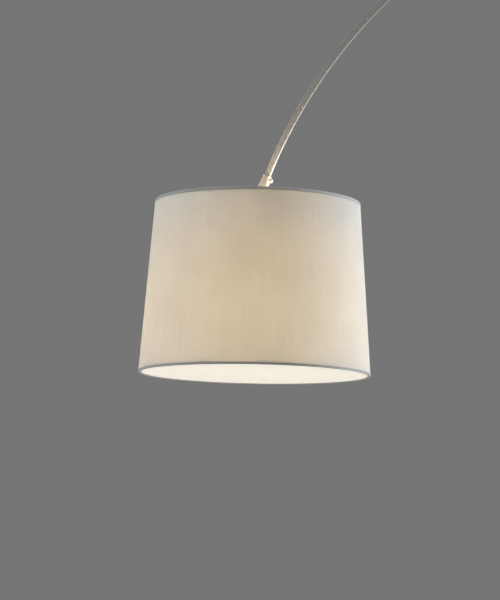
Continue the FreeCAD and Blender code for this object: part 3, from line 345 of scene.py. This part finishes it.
def makeCloth():
    material = bpy.data.materials.new("shadeCloth")
    material.use_nodes = True
    tree = material.node_tree
    shader = tree.nodes["Principled BSDF"]
    shader.inputs["Roughness"].default_value = cloth["rough"]
    shader.inputs["Sheen Weight"].default_value = cloth["sheen"]
    source = addNode(tree, "ShaderNodeTexCoord")
    waves = []
    for axis in ("X", "Y"):
        wave = addNode(tree, "ShaderNodeTexWave",
                       {"Scale": math.pi / (10 * cloth["threadPitch"]), "Distortion": 0.6,
                        "Detail": 1.0, "Detail Scale": 0.6},
                       {"bands_direction": axis, "wave_profile": "SIN"})
        tree.links.new(source.outputs["UV"], wave.inputs["Vector"])
        waves.append(wave)
    weave = addNode(tree, "ShaderNodeMath", None, {"operation": "MAXIMUM"})
    tree.links.new(waves[0].outputs["Fac"], weave.inputs[0])
    tree.links.new(waves[1].outputs["Fac"], weave.inputs[1])
    stretched = addNode(tree, "ShaderNodeMapping",
                        {"Scale": (1 / cloth["slubWidth"], 1 / cloth["slubLength"], 1.0)})
    slub = addNode(tree, "ShaderNodeTexNoise", {"Scale": 1.0, "Detail": 4.0, "Roughness": 0.55})
    tree.links.new(source.outputs["UV"], stretched.inputs["Vector"])
    tree.links.new(stretched.outputs["Vector"], slub.inputs["Vector"])
    cloud = addNode(tree, "ShaderNodeTexNoise", {"Scale": 14.0, "Detail": 2.0, "Roughness": 0.5})
    tree.links.new(source.outputs["UV"], cloud.inputs["Vector"])
    amount = addNode(tree, "ShaderNodeMath", None, {"operation": "ADD"})
    tree.links.new(slub.outputs["Fac"], amount.inputs[0])
    tree.links.new(cloud.outputs["Fac"], amount.inputs[1])
    spread = addNode(tree, "ShaderNodeMapRange", {"From Min": 0.7, "From Max": 1.3})
    tree.links.new(amount.outputs["Value"], spread.inputs["Value"])
    tones = []
    for first, second in ((cloth["color"], cloth["second"]),
                          (cloth["glow"], tuple(min(1.0, c * 1.09) for c in cloth["glow"]))):
        tone = tree.nodes.new("ShaderNodeMix")
        tone.data_type = "RGBA"
        tone.inputs[6].default_value = solid(first)
        tone.inputs[7].default_value = solid(second)
        tree.links.new(spread.outputs["Result"], tone.inputs[0])
        tones.append(tone)
    dark, light = cloth["threadTones"]
    threads = addNode(tree, "ShaderNodeMapRange",
                      {"From Min": 0.0, "From Max": 1.0, "To Min": dark, "To Max": light})
    tree.links.new(weave.outputs["Value"], threads.inputs["Value"])
    bump = addNode(tree, "ShaderNodeBump", {"Strength": cloth["bumpStrength"], "Distance": cloth["bump"]})
    tree.links.new(weave.outputs["Value"], bump.inputs["Height"])
    translucent = addNode(tree, "ShaderNodeBsdfTranslucent")
    mix = addNode(tree, "ShaderNodeMixShader", {"Fac": cloth["glowShare"]})
    for tone, socket in zip(tones, (shader.inputs["Base Color"], translucent.inputs["Color"])):
        shaded = addNode(tree, "ShaderNodeVectorMath", None, {"operation": "SCALE"})
        tree.links.new(tone.outputs[2], shaded.inputs[0])
        tree.links.new(threads.outputs["Result"], shaded.inputs["Scale"])
        tree.links.new(shaded.outputs["Vector"], socket)
    tree.links.new(bump.outputs["Normal"], shader.inputs["Normal"])
    tree.links.new(bump.outputs["Normal"], translucent.inputs["Normal"])
    tree.links.new(shader.outputs["BSDF"], mix.inputs[1])
    tree.links.new(translucent.outputs["BSDF"], mix.inputs[2])
    tree.links.new(mix.outputs["Shader"], tree.nodes["Material Output"].inputs["Surface"])
    return material


def makeGlow(name, color, strength, base, rough, levels):
    # a lit surface whose brightness falls off above and below its hottest level
    material = bpy.data.materials.new(name)
    material.use_nodes = True
    tree = material.node_tree
    shader = tree.nodes["Principled BSDF"]
    shader.inputs["Base Color"].default_value = solid(base)
    shader.inputs["Roughness"].default_value = rough
    shader.inputs["Emission Strength"].default_value = strength
    source = addNode(tree, "ShaderNodeTexCoord")
    split = addNode(tree, "ShaderNodeSeparateXYZ")
    rise = addNode(tree, "ShaderNodeMapRange", {"From Min": levels[0], "From Max": levels[1]})
    ramp = addNode(tree, "ShaderNodeValToRGB")
    ends = ramp.color_ramp.elements
    ends[0].position, ends[0].color = 0.0, solid(color)
    ends[1].position, ends[1].color = 1.0, solid(tuple(c * glowing["topShare"] for c in color))
    for place, share in glowing["stops"]:
        step = ends.new(place)
        step.color = solid(tuple(c * share for c in color))
    tree.links.new(source.outputs["Object"], split.inputs["Vector"])
    tree.links.new(split.outputs["Z"], rise.inputs["Value"])
    tree.links.new(rise.outputs["Result"], ramp.inputs["Fac"])
    tree.links.new(ramp.outputs["Color"], shader.inputs["Emission Color"])
    speck = addNode(tree, "ShaderNodeTexNoise", {"Scale": 900.0, "Detail": 3.0})
    tree.links.new(source.outputs["Object"], speck.inputs["Vector"])
    bump = addNode(tree, "ShaderNodeBump", {"Strength": 0.2, "Distance": 0.0001})
    tree.links.new(speck.outputs["Fac"], bump.inputs["Height"])
    tree.links.new(bump.outputs["Normal"], shader.inputs["Normal"])
    return material


def makeDiffuser():
    material = bpy.data.materials.new("opalSheet")
    material.use_nodes = True
    tree = material.node_tree
    shader = tree.nodes["Principled BSDF"]
    shader.inputs["Base Color"].default_value = solid(glowing["diffuserBase"])
    shader.inputs["Roughness"].default_value = 0.32
    # painted glow: the sheet emits light itself, standing in for the bulb's light shining through it
    shader.inputs["Emission Strength"].default_value = glowing["diffuserPaintedGlowStrength"]
    source = addNode(tree, "ShaderNodeTexCoord")
    cloud = addNode(tree, "ShaderNodeTexNoise", {"Scale": 7.0, "Detail": 2.0})
    tree.links.new(source.outputs["Object"], cloud.inputs["Vector"])
    tone = tree.nodes.new("ShaderNodeMix")
    tone.data_type = "RGBA"
    tone.inputs[6].default_value = solid(tuple(c * 0.97 for c in glowing["diffuserPaintedGlowColor"]))
    tone.inputs[7].default_value = solid(glowing["diffuserPaintedGlowColor"])
    tree.links.new(cloud.outputs["Fac"], tone.inputs[0])
    tree.links.new(tone.outputs[2], shader.inputs["Emission Color"])
    ripple = addNode(tree, "ShaderNodeTexNoise", {"Scale": 30.0, "Detail": 1.0})
    tree.links.new(source.outputs["Object"], ripple.inputs["Vector"])
    bump = addNode(tree, "ShaderNodeBump", {"Strength": 0.15, "Distance": 0.0004})
    tree.links.new(ripple.outputs["Fac"], bump.inputs["Height"])
    tree.links.new(bump.outputs["Normal"], shader.inputs["Normal"])
    translucent = addNode(tree, "ShaderNodeBsdfTranslucent", {"Color": solid(glowing["diffuserThrough"])})
    mix = addNode(tree, "ShaderNodeMixShader", {"Fac": glowing["diffuserThroughShare"]})
    tree.links.new(shader.outputs["BSDF"], mix.inputs[1])
    tree.links.new(translucent.outputs["BSDF"], mix.inputs[2])
    tree.links.new(mix.outputs["Shader"], tree.nodes["Material Output"].inputs["Surface"])
    return material


materials["shadeCloth"] = makeCloth()
materials["opalSheet"] = makeDiffuser()
bulbLow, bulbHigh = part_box("bulb_glass")
materials["litGlass"] = makeGlow("litGlass", glowing["bulbColor"], glowing["bulbStrength"],
                                 glowing["bulbBase"], 0.5, (bulbLow.z, bulbHigh.z))
filamentLow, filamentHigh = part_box("bulb_filaments")
materials["hotWire"] = makeGlow("hotWire", glowing["filamentColor"], glowing["filamentStrength"],
                                glowing["filamentBase"], 0.4, (filamentLow.z, filamentHigh.z))
print("finishes made,", len(materials))


# ---- mesh helpers

def addPiece(name, body, material, points, faces, crease, mapped):
    mesh = bpy.data.meshes.new(name)
    mesh.from_pydata([tuple(p) for p in points], [], faces)
    shape = bmesh.new()
    shape.from_mesh(mesh)
    bmesh.ops.recalc_face_normals(shape, faces=shape.faces)
    layer = shape.loops.layers.uv.new("UVMap")
    along, around, perRing, wraps = mapped
    rings = len(along) - (1 if wraps else 0)
    for face in shape.faces:
        spots = [(corner, corner.vert.index // perRing, corner.vert.index % perRing)
                 for corner in face.loops]
        lastRing = any(i == rings - 1 for _, i, _ in spots) and any(i == 0 for _, i, _ in spots)
        lastPoint = any(j == perRing - 1 for _, _, j in spots) and any(j == 0 for _, _, j in spots)
        for corner, i, j in spots:
            i = rings if lastRing and i == 0 and wraps else i
            j = perRing if lastPoint and j == 0 and len(spots) == 4 else j
            corner[layer].uv = (along[i], around[j])
    shape.to_mesh(mesh)
    shape.free()
    mesh.polygons.foreach_set("use_smooth", [True] * len(mesh.polygons))
    mesh.set_sharp_from_angle(angle=math.radians(crease))
    mesh.materials.append(materials[material])
    piece = bpy.data.objects.new(name, mesh)
    bpy.context.collection.objects.link(piece)
    if body:
        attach(piece, body)
    return piece


def running(points, closed):
    # the distance travelled at each point, and back to the first where the line is closed
    total, marks = 0.0, [0.0]
    ends = points[1:] + ([points[0]] if closed else [])
    for first, second in zip(points, ends):
        total += (Vector(second) - Vector(first)).length
        marks.append(total)
    return marks


def loft(name, body, material, rings, wraps=False, crease=32.0):
    # one skin through rings of equal length; it is capped unless the last ring joins the first
    perRing = len(rings[0])
    points = [point for ring in rings for point in ring]
    faces = []
    for i in range(len(rings) if wraps else len(rings) - 1):
        following = (i + 1) % len(rings)
        for j in range(perRing):
            k = (j + 1) % perRing
            near, far = i * perRing, following * perRing
            faces.append((near + j, near + k, far + k, far + j))
    if not wraps:
        faces.append(tuple(range(perRing)))
        faces.append(tuple(range((len(rings) - 1) * perRing, len(rings) * perRing)))
    along = running([ring[0] for ring in rings], wraps)
    around = running(rings[len(rings) // 2], True)
    return addPiece(name, body, material, points, faces, crease, (along, around, perRing, wraps))


def roundedBox(width, depth, corner, perCorner=5):
    # a rectangle with rounded corners, going round from its +X side
    outline = []
    for quarter, (sx, sy) in enumerate(((1, 1), (-1, 1), (-1, -1), (1, -1))):
        for step in range(perCorner + 1):
            angle = math.radians(90 * (quarter + step / perCorner))
            outline.append((sx * (width / 2 - corner) + corner * math.cos(angle),
                            sy * (depth / 2 - corner) + corner * math.sin(angle)))
    return outline


def ringOf(profile, angle, centre):
    return [(centre.x + radius * math.cos(angle), centre.y + radius * math.sin(angle), height)
            for radius, height in profile]


def dress(material, *nodes):
    for name in nodes:
        data = frame["nodes"][name].data
        data.materials.clear()
        data.materials.append(materials[material])


# ---- arm: a flat bar bent to an arc, straight where it goes down the mast

arm = {
    "radius": 0.890, "meanDepth": 0.0172, "taper": 0.0055, "thick": 0.005, "wall": 0.0011,
    "corner": 0.0008, "leastCorner": 0.0002, "endAngle": 21.1, "stepAngle": 0.75, "tail": 0.400,
}
mastLow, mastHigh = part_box("mast_tube")
mastX = (mastLow.x + mastHigh.x) / 2
arcX = mastX - arm["radius"]
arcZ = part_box("arm_bar")[0].z + arm["tail"]


def armRings(inset):
    rings = []
    outer = arm["radius"] + arm["meanDepth"] / 2 - inset
    inner = arm["radius"] - arm["meanDepth"] / 2 + inset
    count = math.ceil((180 - arm["endAngle"]) / arm["stepAngle"])
    stations = [(arm["endAngle"] + (180 - arm["endAngle"]) * i / count, 0.0) for i in range(count + 1)]
    stations += [(180.0, arm["tail"] * share) for share in (0.25, 0.5, 0.75, 1.0)]
    for degrees, drop in stations:
        angle = math.radians(degrees)
        cosine, sine = math.cos(angle), math.sin(angle)
        far = Vector((arcX + arm["taper"] / 2 - outer * cosine, 0, arcZ + outer * sine - drop))
        near = Vector((arcX - arm["taper"] / 2 - inner * cosine, 0, arcZ + inner * sine - drop))
        across = far - near
        corner = max(arm["corner"] - inset, arm["leastCorner"])
        section = roundedBox(across.length, arm["thick"] - 2 * inset, corner)
        middle, along = (far + near) / 2, across.normalized()
        rings.append([middle + along * u + Vector((0, v, 0)) for u, v in section])
    return rings


armBar = loft("armBar", "arm", "armNickel", armRings(0.0) + armRings(arm["wall"])[::-1], True)
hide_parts("arm_bar")
print("arm made")


# ---- lead inside the mast: its foot is clamped in the base and its head goes up and down with the arm; here it is one straight round cord, tied to no body

lead = {"around": 24, "levels": 32}
leadLow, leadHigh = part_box("mast_lead")
leadAxis, leadRadius = (leadLow + leadHigh) / 2, (leadHigh.x - leadLow.x) / 2
leadTurns = [2 * math.pi * step / lead["around"] for step in range(lead["around"])]
leadRings = []
for level in range(lead["levels"] + 1):
    z = leadLow.z + (leadHigh.z - leadLow.z) * level / lead["levels"]
    leadRings.append([(leadAxis.x + leadRadius * math.cos(a), leadAxis.y + leadRadius * math.sin(a), z)
                      for a in leadTurns])
mastLead = loft("mastLead", None, "clearSheath", leadRings)
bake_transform(mastLead)
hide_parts("mast_lead")
print("lead made")


# ---- shade: stiffened cloth round two rings, with a glued lap at the back

shade = {
    "lowRadius": 0.2245, "topRadius": 0.200, "thick": 0.00058, "lap": 0.014, "ease": 0.030,
    "seamAngle": 115.0, "columns": 360, "rows": 30,
    "hemThick": 0.0006, "hemGap": 0.00004, "hemWave": 0.00012, "hemShort": 0.0008,
    "hemSteps": 360, "hemCrease": 40.0, "hemReach": 0.0052, "hemInset": 0.0012,
    "lapGap": 0.00003, "clothGap": 0.00005,
}
shadeTall = rimHigh.z - rimLow.z
slope = (shade["lowRadius"] - shade["topRadius"]) / shadeTall


def skinRadius(height):
    return shade["lowRadius"] - slope * (height - rimLow.z)


def smooth(value):
    value = min(max(value, 0.0), 1.0)
    return value * value * (3 - 2 * value)


def clothColumn(travel, radius):
    # the first lap lies under the last, so it starts one thickness further in
    sunk = (shade["thick"] + shade["lapGap"]) * (1 - smooth((travel - shade["lap"]) / shade["ease"]))
    angle = math.radians(shade["seamAngle"]) + travel / radius
    levels = [rimLow.z + shadeTall * row / shade["rows"] for row in range(shade["rows"] + 1)]
    outside = [(skinRadius(z) - sunk, z) for z in levels]
    inside = [(skinRadius(z) - sunk - shade["thick"], z) for z in reversed(levels)]
    return ringOf(outside + inside, angle, shadeAxis)


meanRadius = (shade["lowRadius"] + shade["topRadius"]) / 2
around = 2 * math.pi * meanRadius
even = {around * i / shade["columns"] for i in range(shade["columns"] + 1)}
lapEdges = {shade["lap"], shade["lap"] + shade["ease"] / 2, around + shade["lap"] / 2, around + shade["lap"]}
columns = [clothColumn(travel, meanRadius) for travel in sorted(even | lapEdges)]
shadeCloth = loft("shadeCloth", "shade", "shadeCloth", columns)
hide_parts("shade_fabric")


def hem(name, low, high, folds):
    # a glued tape whose edges waver very slightly; folds gives its outline at a given angle
    rings = []
    for step in range(shade["hemSteps"]):
        angle = 2 * math.pi * step / shade["hemSteps"]
        ripple = math.sin(7 * angle + 0.4) + 0.6 * math.sin(19 * angle) + 0.5 * math.sin(43 * angle)
        waver = shade["hemWave"] * ripple
        rings.append(ringOf(folds(low, high, waver), angle, shadeAxis))
    return loft(name, "shade", "hemTapeShaded", rings, True, shade["hemCrease"])


def topFolds(low, high, waver):
    gap, thick = shade["hemGap"], shade["hemThick"]
    fabricTop = rimHigh.z + shade["clothGap"]
    foot = low + shade["hemShort"]
    outside = [(skinRadius(z) + gap + thick, z)
               for z in (foot + waver + 0.0001, foot + 0.001, high - 0.0006)]
    inner = skinRadius(high) - shade["hemInset"] - gap - thick
    crown = [(skinRadius(high) + gap + thick * 0.75, high - 0.0002), (skinRadius(high) + gap, high),
             (inner + thick, high), (inner + thick * 0.25, high - 0.0002)]
    innerLeg = [(inner + (high - z) * slope, z) for z in (high - 0.0006, low + 0.002, low - waver)]
    back = [(inner + thick + (high - z) * slope, z) for z in (low - waver, low + 0.002)]
    under = [(inner + thick, fabricTop), (skinRadius(high) + gap, fabricTop)]
    front = [(skinRadius(z) + gap, z) for z in (foot + 0.001, foot + waver)]
    return outside + crown + innerLeg + back + under + front


def lowFolds(low, high, waver):
    gap, thick = shade["hemGap"], shade["hemThick"]
    reach = shade["lowRadius"] - shade["hemReach"]
    fabricFoot = rimLow.z - shade["clothGap"]
    outside = [(skinRadius(z) + gap + thick, z)
               for z in (high + waver - 0.0001, high - 0.0014, low + 0.0006)]
    foot = [(skinRadius(low) + gap + thick * 0.75, low + 0.0002), (skinRadius(low) + gap, low),
            (reach + 0.0006, low), (reach, low + 0.0003), (reach + 0.0004, fabricFoot)]
    front = [(skinRadius(low) + gap, fabricFoot), (skinRadius(high) + gap, high - 0.0014),
             (skinRadius(high) + gap, high + waver)]
    return outside + foot + front


topLow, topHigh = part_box("top_trim")
lowLow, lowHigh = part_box("bottom_trim")
topHem = hem("topHem", topLow.z, topHigh.z, topFolds)
lowHem = hem("lowHem", lowLow.z, lowHigh.z, lowFolds)
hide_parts("top_trim")
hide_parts("bottom_trim")
print("shade made")


# ---- finishes of the parts that keep their shape

dress("wornFelt", "base_pad")
dress("sandCast", "base_weight")
dress("baseNickel", "base_cover")
dress("softRubber", "cord_gland")
dress("blackNylon", "cord_clamp")
dress("zincPlate", "clamp_screws", "socket_screws", "socket_grub_screws", "slider_rivet", "tilt_bolt",
      "tilt_washers", "tilt_nut", "stem_pipe", "stem_nuts")
dress("whiteNylon", "terminal_block", "mast_liner", "arm_slider", "diffuser_clips", "holder_cap", "holder_body")
dress("plainBrass", "terminal_screws", "mast_screw_pad", "sleeve_screw_pad", "contact_tongue", "thread_shell")
dress("socketNickel", "mast_socket")
dress("mastNickel", "mast_tube", "mast_collar")
dress("turnedNickel", "mast_screw", "sleeve_screw", "tilt_eye")
dress("sleeveShadedNickel", "end_sleeve")
dress("wireSheath", "arm_wires", "holder_wires")
dress("whiteEnamel", "spider_frame", "bottom_ring")
dress("opalSheet", "diffuser")
dress("glazedClay", "holder_insert")
dress("capMetal", "bulb_cap", "bulb_tip")
dress("blackVitrite", "bulb_insulator")
dress("litGlass", "bulb_glass")
dress("clearStem", "bulb_stem")
dress("hotWire", "bulb_filaments")
print("finishes given to the fixed parts")
